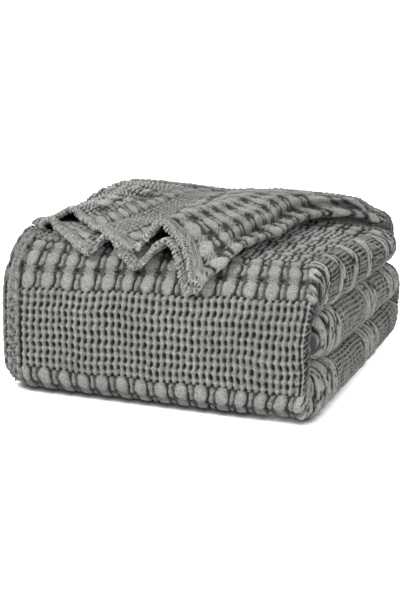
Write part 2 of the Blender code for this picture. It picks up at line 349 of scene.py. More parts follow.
# %% Plies, turns and rolls
# Heights of the loose end's ridges and valleys, in mm: a row for each place along it (way) and a
# column for each place across it, from the left turn to the fold on the right.
RIDGE_ACROSS = (0.0, 0.12, 0.25, 0.40, 0.52, 0.62, 0.72, 0.85, 0.93, 1.0)
RIDGE_WAY = (0.0, 0.12, 0.35, 0.55, 0.75, 1.0)
RIDGE_HEIGHT = np.array([
    [-5, -3, -4, -7, -1, 3, 3.5, 3, 1, -9],
    [0, 0, -3, -6, -1, 4, 5, 4, 1, -8],
    [3, 2, -1, -5, -2, 4, 6, 5, 0, -6],
    [-2, 0, 1, -5, -4, 4, 7, 3, 0, -4],
    [-6, -1, 4, -1, -6, 3, 8, 3, 0, -2],
    [0] * 10,
]) * 0.001
RISE_LATE = 4              # over the bend at the back they rise with this power of the way
FULL = 2.7                 # an ellipse has 2; a fuller roll has more


def blend(a, b, share):
    """A share of the way from a to b."""
    return a + (b - a) * share


def ridges(across, way, share):
    """The table's height at places across (a row) and way (a column or one number).

    The lower ply (share 0) lies on the stack, so it has the ridges and not the valleys.
    """
    rows = np.stack([eased(across.ravel(), RIDGE_ACROSS, row) for row in RIDGE_HEIGHT])
    height = eased(np.atleast_1d(way).ravel(), RIDGE_WAY, rows)
    return blend(np.maximum(height, 0.0), height, share)


def near_left(x, left):
    """0 inside the strip, rising as a quarter circle to 1 at its left edge."""
    q = np.clip((left + EDGE_WIDTH - x) / EDGE_WIDTH, 0.0, 1.0)
    return 1.0 - np.sqrt(1.0 - q * q)


def edges_along(name, way):
    """Left and right edge, roll and drop along a stretch.  The roll shrinks to nothing at the
    tucked-in tip of the nose."""
    first, last, _ = STRETCHES[name]
    left, right, roll, drop = sides_at(first + (last - first) * way)
    if name == "nose_tip":
        roll = roll * np.maximum(np.cos((1 - way) * math.pi / 2), 0.05)
    return left, right, roll, drop


def ply_points(name, way, share, across):
    """Points of one ply of a stretch, for rows at way (0 to 1) and columns at across (0 to 1)."""
    stations = STRETCHES[name][2](way)
    left, right, roll, drop = (v[:, None] for v in edges_along(name, way))
    x = blend(left + LEFT_TURN, right - roll, across[None, :])
    rise = way[:, None] ** RISE_LATE if name == "over" else np.zeros((len(way), 1))
    if 0 < share < 1:
        x = x + HEM_REACH * roll * (1 - rise) * (across == across[-1])
    out_point, in_point = stations[:, None, :2], stations[:, None, 2:]
    outward = out_point - in_point
    outward = outward / np.linalg.norm(outward, axis=2, keepdims=True)
    at_edge = near_left(x, left)[..., None]
    yz = blend(out_point, in_point, share) - outward * drop[..., None] * (1 - share) * at_edge
    pulled = np.interp(yz[..., 0], (GROOVE_FULL_Y, GROOVE_END_Y), (GROOVE, 0.0))
    y = yz[..., 0] + pulled * at_edge[..., 0]
    z = yz[..., 1] + rise * ridges(across[None, :], 0.0, share)
    return np.stack([x, y, z], axis=2)


def half_turn(start, end, reach, steps, full=2.0):
    """Half an ellipse from start to end that bulges along x by reach, ends left out.

    With full above 2 it is a fuller curve: |cos|^(2/full) and |sin|^(2/full).
    """
    angle = np.linspace(0, math.pi, steps + 1)[1:-1][None, :, None]
    start, end = start[:, None, :], end[:, None, :]
    middle, half = (start + end) / 2, (end - start) / 2
    most = (half ** 2).sum(axis=2) / TIGHTEST
    bulge = np.clip(reach[:, None], -most, most)[..., None] * np.array([1.0, 0.0, 0.0])
    cosine = np.sign(np.cos(angle)) * np.abs(np.cos(angle)) ** (2 / full)
    return middle - half * cosine + bulge * np.sin(angle) ** (2 / full)


print("ridges of the loose end: up to", RIDGE_HEIGHT.max(), "m")


# %% [markdown]
# ## The loose end
#
# The two outer plies of the strip come forward over the top.  Their shape hangs between two
# curves: the straight bend at the back and the waving hem in front.  A hem is a short table of its
# crests, troughs and slopes, joined smoothly.

# %% The loose end
Hem = namedtuple("Hem", "low_x low_y low_z high_x high_y high_z")
HEMS = (
    Hem(-0.179, -0.088, 0.170, -0.176, -0.082, 0.178),
    Hem(-0.160, -0.102, 0.180, -0.146, -0.078, 0.192),
    Hem(-0.125, -0.137, 0.177, -0.120, -0.092, 0.188),
    Hem(-0.081, -0.169, 0.168, -0.084, -0.128, 0.187),
    Hem(-0.067, -0.150, 0.183, -0.033, -0.167, 0.181),
    Hem(-0.021, -0.176, 0.159, -0.018, -0.157, 0.192),
    Hem(0.009, -0.161, 0.189, 0.000, -0.154, 0.208),
    Hem(0.034, -0.178, 0.156, 0.033, -0.168, 0.187),
    Hem(0.045, -0.189, 0.141, 0.050, -0.190, 0.157),
)
# How far the fold on the right lies aside of a straight line, by places along it.
BOW_WAY = (0.0, 0.06, 0.15, 0.31, 0.45, 0.64, 0.84, 0.93, 1.0)
BOW_ASIDE = (0.0, -0.042, -0.052, -0.038, -0.019, -0.003, 0.011, 0.013, 0.0)
LIE_LOW = 0.0070           # heights of the two plies above the top layer at the front
LIE_HIGH = 0.0200
RUMPLE = 0.0022            # soft unevenness of the upper ply
RUFFLE = 0.0024            # small waves of the hems
FADE_LOW = 4.5             # the hems' waves grow with these powers of the way
FADE_HIGH = 1.1
LOOSE_LEFT, LOOSE_RIGHT, LOOSE_ROLL = -0.158, 0.172, 0.014
TOP_LEFT, TOP_DROP = -0.180, -0.022


def ripple(x, y, seed, size):
    """A gentle unevenness from -1 to 1: five waves of about that size in fixed odd directions."""
    odd = np.random.default_rng(seed)
    angle, phase = odd.uniform(0, 2 * math.pi, (2, 5))
    long = size * odd.uniform(0.7, 1.5, 5)
    total = 0.0
    for a, f, l in zip(angle, phase, long):
        total = total + np.sin(2 * math.pi * (x * math.cos(a) + y * math.sin(a)) / l + f)
    return total / 3.2


def through(rows, places):
    """A smooth curve through evenly spaced rows (Catmull-Rom), read at places from 0 to 1."""
    rows = np.asarray(rows)
    padded = np.vstack([2 * rows[0] - rows[1], rows, 2 * rows[-1] - rows[-2]])
    t = np.asarray(places) * (len(rows) - 1)
    i = np.minimum(t.astype(int), len(rows) - 2)
    s = (t - i)[:, None]
    a, b, c, d = (padded[i + k] for k in range(4))
    return 0.5 * (2 * b + (c - a) * s + (2 * a - 5 * b + 4 * c - d) * s ** 2
                  + (3 * b - a - 3 * c + d) * s ** 3)


def softened(values, times):
    """Each value becomes a quarter, a half and a quarter of its neighbours and itself, often."""
    for _ in range(times):
        values[1:-1] = (values[:-2] + 2 * values[1:-1] + values[2:]) / 4
    return values


def top_centre(x, y):
    """How far y is in front of the top layer's front edge, and the height of its arc's centre."""
    before = np.maximum(FRONT_Y + BROW_R - y, 0.0)
    behind = np.maximum(y - FRONT_Y - BROW_R, 0.0)
    slope = (TOP.high_back - TOP.high_front) / (OVER_Y - FRONT_Y - BROW_R)
    drop = TOP_DROP * near_left(x, TOP_LEFT)
    return before, TOP.high_front - BROW_R + slope * behind - drop


def top_height(x, y, above):
    """Height of the point at a distance above the top layer."""
    before, centre = top_centre(x, y)
    return centre + np.sqrt((BROW_R + above) ** 2 - before ** 2)


def above_top(x, y, z):
    """The distance of a point above the top layer."""
    before, centre = top_centre(x, y)
    return np.hypot(before, z - centre) - BROW_R


def loose_points(way, share, across):
    """Points of one ply of the loose end, for rows at way and columns at across."""
    back_x = blend(LOOSE_LEFT + LEFT_TURN, LOOSE_RIGHT - LOOSE_ROLL, across)
    hems = np.array(HEMS)
    hem = blend(hems[:, :3], hems[:, 3:], share)
    hem[:, 2] = above_top(*hem.T)
    hem = through(hem, across)
    bow = softened(np.interp(way, BOW_WAY, BOW_ASIDE), 60)[:, None]
    way = way[:, None]
    x = blend(back_x, hem[:, 0], way) + bow * across
    y = blend(OVER_Y, hem[:, 1], way)
    lie_front = blend(LIE_LOW, LIE_HIGH, share)
    lie_back = blend(THROW_LOW_BACK, THROW_HIGH_BACK, share) - TOP.high_back
    wave = (hem[:, 2] - lie_front) * way ** blend(FADE_LOW, FADE_HIGH, share)
    above = blend(lie_back, lie_front, way) + wave
    z = top_height(x, y, above) + ridges(across, way, share)
    z = z + RUMPLE * share * ripple(x, y, 51, 0.075) * np.sin(math.pi * way ** 0.8)
    z = z + RUFFLE * ripple(x - 0.4 * y, 0 * y, 57 + int(share), 0.026) * way ** 7
    return np.stack([x, y, z], axis=2)


print("each hem runs through", len(HEMS), "places")

# %% [markdown]
# ## The weave
#
# Over the flat cloth the weave is a height for each place: p runs across the ribs and q along
# them.  Most of the cloth is plain waffle: ribs of beads, and a pit between each four beads.
# Bands of puffs break it: a smooth oval, a narrow bar, a smooth oval, and so on, three ribs to one
# oval and its bar.  Ovals of neighbouring rows hang together by crinkled necks, and the cloth
# between the necks sinks away.  A height made from cosines and rounded steps keeps the pattern in
# place over the folds, which a flat texture would not.  Nothing in washed cloth is quite even, so
# sizes, places and edges get small fixed odd amounts.

# %% Cells, puffs and necks
RIB = 0.00765              # from rib to rib
ROW = 0.0104               # from pit to pit along a rib
REPEAT = 3 * RIB           # from puff to puff
PUFF_HALF = 0.0071         # half the widths of a puff, a bar and a neck
BAR_HALF = 0.0029
NECK_HALF = 0.0062
ASIDE = 0.0046             # how far the pattern begins from the left turn
DOT_ACROSS, DOT_ALONG = 0.0048, 0.0058    # of the dotted lines on the rolls


def jitter(i, j, seed):
    """A fixed odd number from 0 to 1 for each cell (i, j)."""
    return np.mod(np.sin(i * 127.1 + j * 311.7 + seed * 74.7) * 43758.5453, 1.0)


def smooth_step(x, start, end):
    """0 before start, 1 after end, and s^2 (3 - 2 s) between."""
    s = np.clip((x - start) / (end - start), 0.0, 1.0)
    return s * s * (3 - 2 * s)


def crinkle(p, q, seed=21):
    """Fine creases left by the wash, from -1 to 1: ripples of 6.5, 3.6 and 2.7 mm added."""
    return (0.45 * ripple(p, q, seed, 0.0065) + 0.35 * ripple(p, q, seed + 1, 0.0036)
            + 0.30 * ripple(p, q, seed + 2, 0.0027))


def cells(p, row):
    """Plain waffle: row counts the pits along a rib.

    With across 0 in the middle of a pit and 1 on a rib, and along 0 at a pit and 1 between two,
    the height in mm is -0.8 + (2.1 to 2.8) rib (0.48 + 0.52 along^2)
    - (2.3 to 3.4) exp(-(across / 0.45)^4 - (beside / 0.54)^4).  Here rib is half an ellipse, widest
    between two pits, and beside is along with each column of pits set off by a fixed odd amount.
    """
    p = p + 0.0006 * np.sin(math.pi * row + 0.6)
    across = np.abs(2 * (p / RIB - np.floor(p / RIB)) - 1)
    along = np.abs(2 * (row - np.round(row)))
    size = jitter(np.round(p / RIB), np.floor(row), 1.0)
    column = np.floor(p / RIB)
    staggered = row + 0.20 * (jitter(column, 0.0, 9.0) - 0.5) + 0.03 * np.sin(9 * row + 5 * column)
    beside = np.abs(2 * (staggered - np.round(staggered)))
    open_pit = jitter(column, np.round(staggered), 7.0)
    rib = np.clip(1 - ((1 - across) / (0.41 + 0.12 * size + 0.32 * along ** 2)) ** 2, 0, 1) ** 0.5
    pit = np.exp(-(across / (0.38 + 0.14 * open_pit)) ** 4 - (beside / (0.47 + 0.14 * open_pit)) ** 4)
    return -0.8 + (2.1 + 0.7 * size) * rib * (0.48 + 0.52 * along ** 2) - (2.3 + 1.1 * open_pit) * pit


def puffs(p, s, band):
    """One row of puffs: s runs from -1 to 1 over the row.

    A puff is flat on top and steep at its sides: 2.1 d^0.33 + 0.5 d mm high over the low cloth, with
    d = 1 - (|p'| + 0.4 |s|^2.4)^3.4 - s^6, where p' is 1 at its side, so that it narrows to its ends.
    A dark groove runs along its right side.  A bar between two puffs is half a tube whose width
    wavers.  The cloth around them lies 1.6 mm low, and up to 1.2 mm lower at the row's ends.
    """
    place = np.round(p / REPEAT)
    size, lean = jitter(place, band, 2.0), jitter(place, band, 5.0) - 0.5
    puff = (p - place * REPEAT - 0.0014 * lean) / (PUFF_HALF * (0.90 + 0.16 * size))
    puff = puff + 0.18 * lean * s + 0.06 * np.sin(5 * s + 6 * size)
    end = np.abs(s * (0.96 + 0.1 * size))
    dome = np.clip(1 - (np.abs(puff) + 0.40 * end ** 2.4) ** 3.4 - end ** 6, 0.0, 1.0)
    joined = np.clip(1 - np.abs(puff / 0.72) ** 4, 0, 1) ** 0.5 * smooth_step(end, 0.7, 0.95)
    groove = np.exp(-((puff - 1.13) / 0.13) ** 2) * (1 - 0.6 * end ** 2)
    other = np.floor(p / REPEAT) + 0.5
    odd = jitter(other, band, 3.0)
    bar = (p - other * REPEAT - 0.0007 * np.sin(3.1 * s + 6 * odd)) / BAR_HALF
    bar = bar / (0.80 + 0.25 * np.cos(4.5 * s + 9 * odd))
    tube = np.clip(1 - bar ** 2, 0, 1) ** 0.5 * np.clip(1 - np.abs(s) ** 5, 0, 1)
    knots = 0.82 + 0.18 * np.cos(11 * s + 7 * odd)
    low = -1.60 - 1.2 * np.abs(s) ** 6
    high = np.maximum(2.1 * dome ** 0.33 + 0.5 * dome, 2.2 * tube * knots)
    high = np.maximum(high, 1.7 * joined)
    return low + high - (low + 1.35) * np.clip(high, 0, 1) - 2.2 * groove


def necks(p, s, band):
    """Between two rows of puffs: a crinkled bridge from puff to puff; the cloth at its side sinks
    and opens in a short dark gap under the upper row.

    Height in mm: -1.9 - 4.2 gap (1 - bridge) + bridge (2 + wrinkle), the gap a bell over s.
    """
    place = np.round(p / REPEAT)
    size = jitter(place, band, 4.0)
    aside = (p - place * REPEAT - 0.0012 * np.sin(5 * s + 8 * size)) / NECK_HALF
    aside = aside / ((0.80 + 0.3 * size) * (1 + 0.3 * s * s))
    bridge = np.clip(1 - aside ** 4, 0, 1) ** 0.5
    wrinkle = 0.9 * np.sin(2 * math.pi * p / 0.0041 + 4 * s + 9 * size) + 0.4 * np.sin(7 * s + p * 900)
    gap = np.exp(-((s - 0.4) / 0.6) ** 2) * np.clip(0.5 + aside - 0.9 * np.abs(aside - 1.2), 0, 1)
    return -1.9 - 4.2 * gap * (1 - bridge) + bridge * (2.0 + wrinkle)


def slits(p, s, band):
    """A narrow gap between two bands, with a bridge at each puff and at odd places between: a
    parabola over s, up to 3 mm deep."""
    place = np.round(p / REPEAT)
    bridge = np.exp(-((p - place * REPEAT) / 0.0042) ** 2)
    broken = 0.45 + 0.55 * jitter(np.round(2 * p / REPEAT), band, 6.0)
    return -0.3 - 3.0 * (1 - s * s) * (1 - 0.9 * bridge) * broken


def pulled(kind, p, q, share, band):
    """The same bands pulled lengthways round a fat roll.

    Plain waffle draws together into dotted lines, the product of two raised cosines.  Rows of
    puffs become long crinkled bars with short gaps between them, and necks and slits become
    deeper gaps.
    """
    dot = ((0.5 + 0.5 * np.cos(2 * math.pi * p / DOT_ACROSS))
           * (0.5 + 0.5 * np.cos(2 * math.pi * q / DOT_ALONG)))
    fine = 1.6 - 8.0 * dot ** 0.7
    s = 2 * share - 1
    dash = np.clip(1.8 * np.sin(2 * math.pi * (p / 0.027 + jitter(band, 1.0, 8.0))) + 0.5, 0, 1)
    other_dash = np.clip(1.8 * np.sin(2 * math.pi * (p / 0.021 + jitter(band, 2.0, 9.0))) + 0.7, 0, 1)
    swell = 0.8 * ripple(p / 3, q, 31, 0.007)
    crease = np.exp(-(ripple(p / 3.5, q, 35, 0.018) / 0.17) ** 2)
    broken = np.clip(0.75 + 0.75 * ripple(p, q, 37, 0.0080), 0, 1.4)
    bar = -0.3 + 2.4 * np.clip(1 - np.abs(s) ** 3, 0, 1) ** 0.5 + swell - 3.0 * crease * broken
    bar = bar - 5.6 * dash * broken * np.exp(-((s + 0.14 * np.sin(p * 260)) / 0.24) ** 2)
    gap = swell - 5.0 * (1 - s * s) * (0.15 + 0.85 * other_dash) * broken
    return np.choose(kind, [fine, bar, gap, gap])


print("a cell is", RIB, "x", ROW, "m, a puff with its bar", round(REPEAT, 5), "m wide")

# %% [markdown]
# The bands follow each other in a fixed order.  A band is its kind, its length along q and, for
# plain waffle, its number of rows.

# %% Bands
Band = namedtuple("Band", "kind length rows")
CELLS, PUFFS, NECKS, SLITS = range(4)


def puff_rows(count, puff=0.0210, neck=0.0075):
    """Rows of puffs with necks between them."""
    return ([Band(PUFFS, puff, 1), Band(NECKS, neck, 1)] * count)[:-1]


def waffle(rows, row=ROW):
    """Plain waffle of so many rows."""
    return [Band(CELLS, rows * row, rows)]


SLIT = [Band(SLITS, 0.004, 1)]
STACK_START = -0.036       # in the tucked-in tip of the nose
STACK_BANDS = (
    # middle layer, from its nose to the bend at the back
    puff_rows(5, 0.0155, 0.005) + waffle(8) + SLIT + puff_rows(2, 0.0200, 0.005) + SLIT + waffle(4)
    + SLIT + puff_rows(2, 0.0180, 0.005)
    # the bend and the bottom layer
    + SLIT + waffle(8) + SLIT + puff_rows(2, 0.0180, 0.005) + waffle(4) + SLIT + waffle(4) + SLIT
    + puff_rows(3, 0.0150, 0.0045) + SLIT + waffle(9) + SLIT + puff_rows(4, 0.0172, 0.0045)
    # up the front
    + [Band(NECKS, 0.0045, 1), Band(PUFFS, 0.0225, 1)] + waffle(10, 0.01015)
    + puff_rows(2, 0.0210, 0.0060) + [Band(NECKS, 0.004, 1), Band(PUFFS, 0.0132, 1)]
    # the top layer and the bend at its back
    + (SLIT + waffle(3) + SLIT + [Band(PUFFS, 0.0185, 1)]) * 3
    + SLIT + waffle(5) + SLIT + puff_rows(2) + waffle(12) + SLIT + puff_rows(2)
)
band_edges = STACK_START + np.cumsum([0.0] + [band.length for band in STACK_BANDS])
print(len(STACK_BANDS), "bands on the stack end", round(float(band_edges[-1]), 3), "m along it")


CRINKLE = 0.42             # of the fine creases, in mm
CLOSER = 1.2               # ribs of a turned waffle


def eased_deep(height, share=0.4):
    """What lies more than 1.5 mm deep is made a share as deep: the rest is painted shade in the colour."""
    return np.maximum(height, -0.0015) + share * np.minimum(height + 0.0015, 0.0)


def painted_wall_shade(height):
    """1.9 times the height, less 0.6 mm: painted shade that makes the walls of pits as dark as their
    floors.
    """
    return 1.9 * height - 0.0006


def weave(p, q, bands, start, round_roll=None, turned=False):
    """Height of the weave in metres, for bands that follow each other along q from start.  When
    turned, the ribs of the plain waffle lie along the bands and closer together."""
    edges = start + np.cumsum([0.0] + [band.length for band in bands])
    i = np.clip(np.searchsorted(edges, q, side="right") - 1, 0, len(bands) - 1)
    kind = np.array([band.kind for band in bands])[i]
    rows = np.array([band.rows for band in bands])[i]
    share = np.clip((q - edges[i]) / (edges[i + 1] - edges[i]), 0, 1)
    s = 2 * share - 1
    plain = cells(q * CLOSER, p / ROW) if turned else cells(p, share * rows + i * 7)
    height = np.choose(kind, [plain, puffs(p, s, i), necks(p, s, i), slits(p, s, i)])
    if round_roll is not None:
        height = blend(height, pulled(kind, p, q, share, i), round_roll)
    return (height + CRINKLE * crinkle(p, q)) * 0.001


# %% [markdown]
# ## From height to mesh
#
# A piece of the blanket is a grid: rows along the strip, columns across it.  The columns are close
# together where the cloth shows and far apart where it is hidden.  Each point is moved along the
# surface's own normal by the height of the weave there.

# %% Grids and normals
def column_places(parts):
    """Places from 0 to 1: for each (end, count) so many evenly spaced ones up to that end."""
    places, start = [np.zeros(1)], 0.0
    for end, count in parts:
        places.append(np.linspace(start, end, count + 1)[1:])
        start = end
    return np.concatenate(places)


def lengths(points, axis):
    """Distance along the grid's lines from their first point."""
    step = np.linalg.norm(np.diff(points, axis=axis), axis=2)
    first = np.zeros_like(np.take(step, [0], axis=axis))
    return np.cumsum(np.concatenate([first, step], axis=axis), axis=axis)


def normals(points):
    """The unit vector across both directions of the grid."""
    along, across = np.gradient(points, axis=0), np.gradient(points, axis=1)
    normal = np.cross(across, along)
    return normal / np.maximum(np.linalg.norm(normal, axis=2, keepdims=True), 1e-12)


HIDDEN = np.array([0.0, 0.04, 0.2, 0.35, 0.5, 0.65, 0.85, 1.0])
PLY_WIDTH = 0.340          # of the cloth between the left turn and the roll
LAP = 0.003
Piece = namedtuple("Piece", "name stretches rows first fourth roll turn")


def strip_grid(piece):
    """The grid of one piece, its places q along the flat cloth, and the columns of each part.

    It starts a little before its first stretch, so that two pieces lap and no gap shows."""
    grids, qs = [], []
    ways = [(name, np.linspace(0, 1, rows + 1)[1 if k else 0:])
            for k, (name, rows) in enumerate(zip(piece.stretches, piece.rows))]
    order = list(STRETCHES)
    before = order.index(piece.stretches[0]) - 1
    if before >= 0:
        lap = LAP / stretch_length(order[before])
        ways.insert(0, (order[before], 1 - lap * np.linspace(1, 0, 5)[:-1]))
    for name, way in ways:
        first, second, third, fourth = (
            ply_points(name, way, share, across) for share, across in
            ((0, piece.first), (1 / 3, HIDDEN), (2 / 3, HIDDEN), (1, piece.fourth)))
        roll = edges_along(name, way)[2]
        left = np.full(len(way), -LEFT_TURN)
        parts = [second[:, ::-1], half_turn(second[:, 0], first[:, 0], left, piece.turn), first,
                 half_turn(first[:, -1], fourth[:, -1], roll, piece.roll, FULL), fourth[:, ::-1],
                 half_turn(fourth[:, 0], third[:, 0], left, piece.turn), third]
        grids.append(np.concatenate(parts, axis=1))
        qs.append(begins[name] + stretch_length(name) * way)
        counts = [part.shape[1] for part in parts]
    return np.concatenate(grids), np.concatenate(qs), counts


def cloth_places(grid, counts):
    """p across the ribs: even over the outermost ply, and the real length round the roll from
    its right edge on, so that the cells keep their size where the roll grows thin."""
    start = counts[0] + counts[1]
    end = start + counts[2] - 1
    along_row = lengths(grid, 1)
    p = along_row - along_row[:, [end]] + PLY_WIDTH
    ply = p[:, start:end + 1]
    p[:, start:end + 1] = (ply - ply[:, [0]]) / (ply[:, [-1]] - ply[:, [0]]) * PLY_WIDTH
    p[:, :start] = along_row[:, :start] - along_row[:, [start]]
    return p


print("a hidden ply has", len(HIDDEN), "columns")

# %% [markdown]
# ## The finish
#
# Washed cotton is matt, with a faint sheen from its loose fibres.  The wash rubs the crests of the
# ribs and puffs lighter, and painted shade darkens the pits.  The weave's height is kept as an
# attribute of the mesh, so that the colour and its painted shade can follow it.  Single yarns are
# too fine for the mesh, so they are a bump.

# %% Cotton
# Place on the weave's height from lowest to highest, and how light the cotton is there; the dark
# low end is painted shade in the pits.
SHADES = ((0.04, 0.012), (0.28, 0.060), (0.52, 0.230), (0.95, 0.440))


def cotton():
    """Mid warm grey cotton: colour from the weave's height, with painted shade in the pits, times two
    noises; bump from two yarn waves and the finer noise."""
    material = bpy.data.materials.new("washed_cotton")
    material.use_nodes = True
    tree = material.node_tree
    link = tree.links.new
    shader = tree.nodes["Principled BSDF"]
    set_inputs(shader, {"Roughness": 0.92, "Specular IOR Level": 0.25,
                        "Sheen Weight": 0.12, "Sheen Roughness": 0.5})

    height = new_node(tree, "Attribute")
    # painted shade: the colour darkens with the weave's depth, as shadow would in the pits
    height.attribute_name = "height_and_painted_shade"
    ramp = new_node(tree, "ValToRGB")
    stops = ramp.color_ramp.elements
    for place, _ in SHADES[1:-1]:
        stops.new(place)
    for stop, (place, grey) in zip(stops, SHADES):
        stop.position = place
        stop.color = (grey, grey * 0.978, grey * 0.930, 1)
    link(height.outputs["Fac"], ramp.inputs["Fac"])

    place = new_node(tree, "TexCoord")
    clouds = new_node(tree, "TexNoise", {"Scale": 14.0, "Detail": 4.0})
    wash = new_node(tree, "MapRange", {"From Min": 0.3, "From Max": 0.7, "To Min": 0.88, "To Max": 1.10})
    specks = new_node(tree, "TexNoise", {"Scale": 480.0, "Detail": 2.0})
    fleck = new_node(tree, "MapRange", {"From Min": 0.25, "From Max": 0.75, "To Min": 0.55, "To Max": 1.45})
    both = new_node(tree, "Math", operation="MULTIPLY")
    for socket, noise, spread in zip(both.inputs, (clouds, specks), (wash, fleck)):
        link(place.outputs["Object"], noise.inputs["Vector"])
        link(noise.outputs["Fac"], spread.inputs["Value"])
        link(spread.outputs["Result"], socket)
    tint = new_node(tree, "VectorMath", operation="SCALE")
    link(ramp.outputs["Color"], tint.inputs[0])
    link(both.outputs["Value"], tint.inputs["Scale"])
    link(tint.outputs["Vector"], shader.inputs["Base Color"])

    flat = new_node(tree, "UVMap")
    flat.uv_map = "flat_cloth"
    woven = new_node(tree, "Math", operation="ADD")
    for socket, direction in zip(woven.inputs, ("X", "Y")):
        wave = new_node(tree, "TexWave", {"Scale": 230.0, "Distortion": 1.5, "Detail": 1.0})
        wave.bands_direction = direction
        link(flat.outputs["UV"], wave.inputs["Vector"])
        link(wave.outputs["Fac"], socket)
    fuzz = new_node(tree, "Math", operation="ADD")
    link(woven.outputs["Value"], fuzz.inputs[0])
    link(specks.outputs["Fac"], fuzz.inputs[1])
    bump = new_node(tree, "Bump", {"Strength": 0.9, "Distance": 0.0010})
    link(fuzz.outputs["Value"], bump.inputs["Height"])
    link(bump.outputs["Normal"], shader.inputs["Normal"])
    return material


washed_cotton = cotton()
print("material", washed_cotton.name)


# %% [markdown]
# A grid becomes a mesh of four-sided faces between neighbouring rows and columns.  A stack of real
# cloth sags and rounds under its own weight, so all points are first moved a few millimetres.

# %% Making a mesh of a grid
LIFT_Y = (-0.16, -0.06, 0.04, 0.14)
LIFT = (0.003, 0.006, 0.009, 0.009)       # of the lowest roll's underside, more to the back
DRAW_IN = (0.0, 0.0, 0.002, 0.003)        # of the same roll, towards the stack
SHOULDER_DROP = 0.008
LOWEST, HIGHEST = -3.6, 2.6               # of the weave, in mm, for the colour


def settled(points):
    """The stack as its weight leaves it: the lowest roll rounds up from the floor, the top layer's
    right shoulder slopes away to the back, and nothing goes through the floor."""
    x, y, z = np.moveaxis(points, 2, 0)
    low = smooth_step(x, 0.085, 0.185) * np.clip(1 - z / 0.075, 0, 1)
    shoulder = smooth_step(x, 0.130, 0.175) * smooth_step(y, 0.0, 0.10) * smooth_step(z, 0.11, 0.16)
    moved_x = x - low * np.interp(y, LIFT_Y, DRAW_IN)
    moved_z = z + low * np.interp(y, LIFT_Y, LIFT) - SHOULDER_DROP * shoulder
    return np.stack([moved_x, y, np.maximum(moved_z, 0.0)], axis=2)


def cloth_mesh(name, points, p, q, tone):
    """Quads between neighbouring rows and columns, with the flat cloth as UV map.  The tone is the
    weave's height, with painted shade that darkens the walls of the pits and tucked-away places."""
    rows, columns = points.shape[:2]
    corner = np.arange(rows * columns).reshape(rows, columns)
    quads = np.stack([corner[:-1, :-1], corner[:-1, 1:], corner[1:, 1:], corner[1:, :-1]], axis=-1)
    quads = quads.reshape(-1, 4)
    mesh = bpy.data.meshes.new(name)
    mesh.vertices.add(rows * columns)
    mesh.vertices.foreach_set("co", (settled(points) - CENTRE).astype(np.float32).ravel())
    mesh.loops.add(quads.size)
    mesh.loops.foreach_set("vertex_index", quads.ravel().astype(np.int32))
    mesh.polygons.add(len(quads))
    mesh.polygons.foreach_set("loop_start", np.arange(0, quads.size, 4, dtype=np.int32))
    mesh.polygons.foreach_set("use_smooth", np.ones(len(quads), bool))
    uv = mesh.uv_layers.new(name="flat_cloth")
    flat = np.stack([p, q], axis=2).reshape(-1, 2)[quads.ravel()]
    uv.data.foreach_set("uv", flat.astype(np.float32).ravel())
    share = (tone * 1000 - LOWEST) / (HIGHEST - LOWEST)
    attribute = mesh.attributes.new("height_and_painted_shade", "FLOAT", "POINT")
    attribute.data.foreach_set("value", share.astype(np.float32).ravel())
    mesh.update(calc_edges=True)
    mesh.validate()
    mesh.materials.append(washed_cotton)
    piece = bpy.data.objects.new(name, mesh)
    bpy.context.scene.collection.objects.link(piece)
    print(name, "has", 2 * len(quads), "triangles")
    return piece


# %% [markdown]
# The stack is six pieces, each a part of the strip with all four plies, and with its columns
# closest on the ply that shows.  On the fat rolls the weave is pulled lengthways, and behind the
# front's edge, in the nose and on the top layer's roll the colour is darker: painted shade.

# %% The stack's pieces
FIRST_FRONT = column_places([(1.0, 340)])
FIRST_TOP = column_places([(0.5, 60), (1.0, 170)])
BEND = column_places([(1.0, 300)])
FEW = column_places([(1.0, 22)])
PIECES = (
    Piece("blanket_middle", ("nose_tip", "nose", "middle"), (14, 26, 200), FEW, FEW, 74, 10),
    Piece("blanket_back", ("back",), (84,), BEND, FEW, 74, 12),
    Piece("blanket_bottom", ("bottom",), (240,), FEW, FEW, 74, 10),
    Piece("blanket_front", ("foot", "wrap", "brow"), (42, 70, 84), FIRST_FRONT, FEW, 74, 14),
    Piece("blanket_top", ("top",), (200,), FIRST_TOP, FEW, 74, 10),
    Piece("blanket_over", ("over",), (62,), FEW, BEND, 74, 10),
)


def edge_band(p, q, height):
    """Beside the left turn of the front the ribs end: a narrow band of close knotty weave lies
    there between two grooves, with a thin rib along each side, and it is smoother higher up."""
    end = np.interp(q, (0.800, 0.847, 0.880), (0.0230, 0.0215, 0.0170))
    band = smooth_step(p, 0.000, 0.003) * (1 - smooth_step(p, end - 0.004, end - 0.001))
    rough = np.interp(q, (0.83, 0.86), (1.0, 0.75))
    ribs = np.exp(-((p - 0.005) / 0.0016) ** 2) + np.exp(-((p - end + 0.0045) / 0.0014) ** 2)
    close = 0.4 - 1.3 * rough + rough * (1.5 * ribs + 2.6 * crinkle(p, 0.7 * q, 61))
    deep = 0.75 + 0.45 * ripple(0 * p, q, 63, 0.012)
    grooves = 3.2 * np.exp(-((p - end) / 0.0014) ** 2) + 2.4 * np.exp(-((p - 0.0005) / 0.0014) ** 2)
    return blend(height, close * 0.001, band) - grooves * deep * 0.001


SLANT_Q = (0.68, 0.765, 0.875, 1.0)
SLANT = (0.0, 0.005, 0.065, 0.060)     # how far the bands climb to the right, per metre across
FAT = 0.080                # length round a roll that is fat enough to pull the cloth
SWELL = 0.003              # the fat rolls press against each other
TOP_PROUD = 1.15           # the weave of the top layer is this much higher
WALL_SHADE_ROLL, WALL_SHADE_TOP = 1.25, 0.8          # how much painted shade darkens the walls of the pits on the rolls and the top
TUCKED_PAINTED_SHADE = 0.0017          # painted shade, taken off the tone behind the front's thin edge and at the nose's tip
# painted shade taken off the tone of the top layer's roll
TOP_ROLL_PAINTED_SHADE = 0.0011


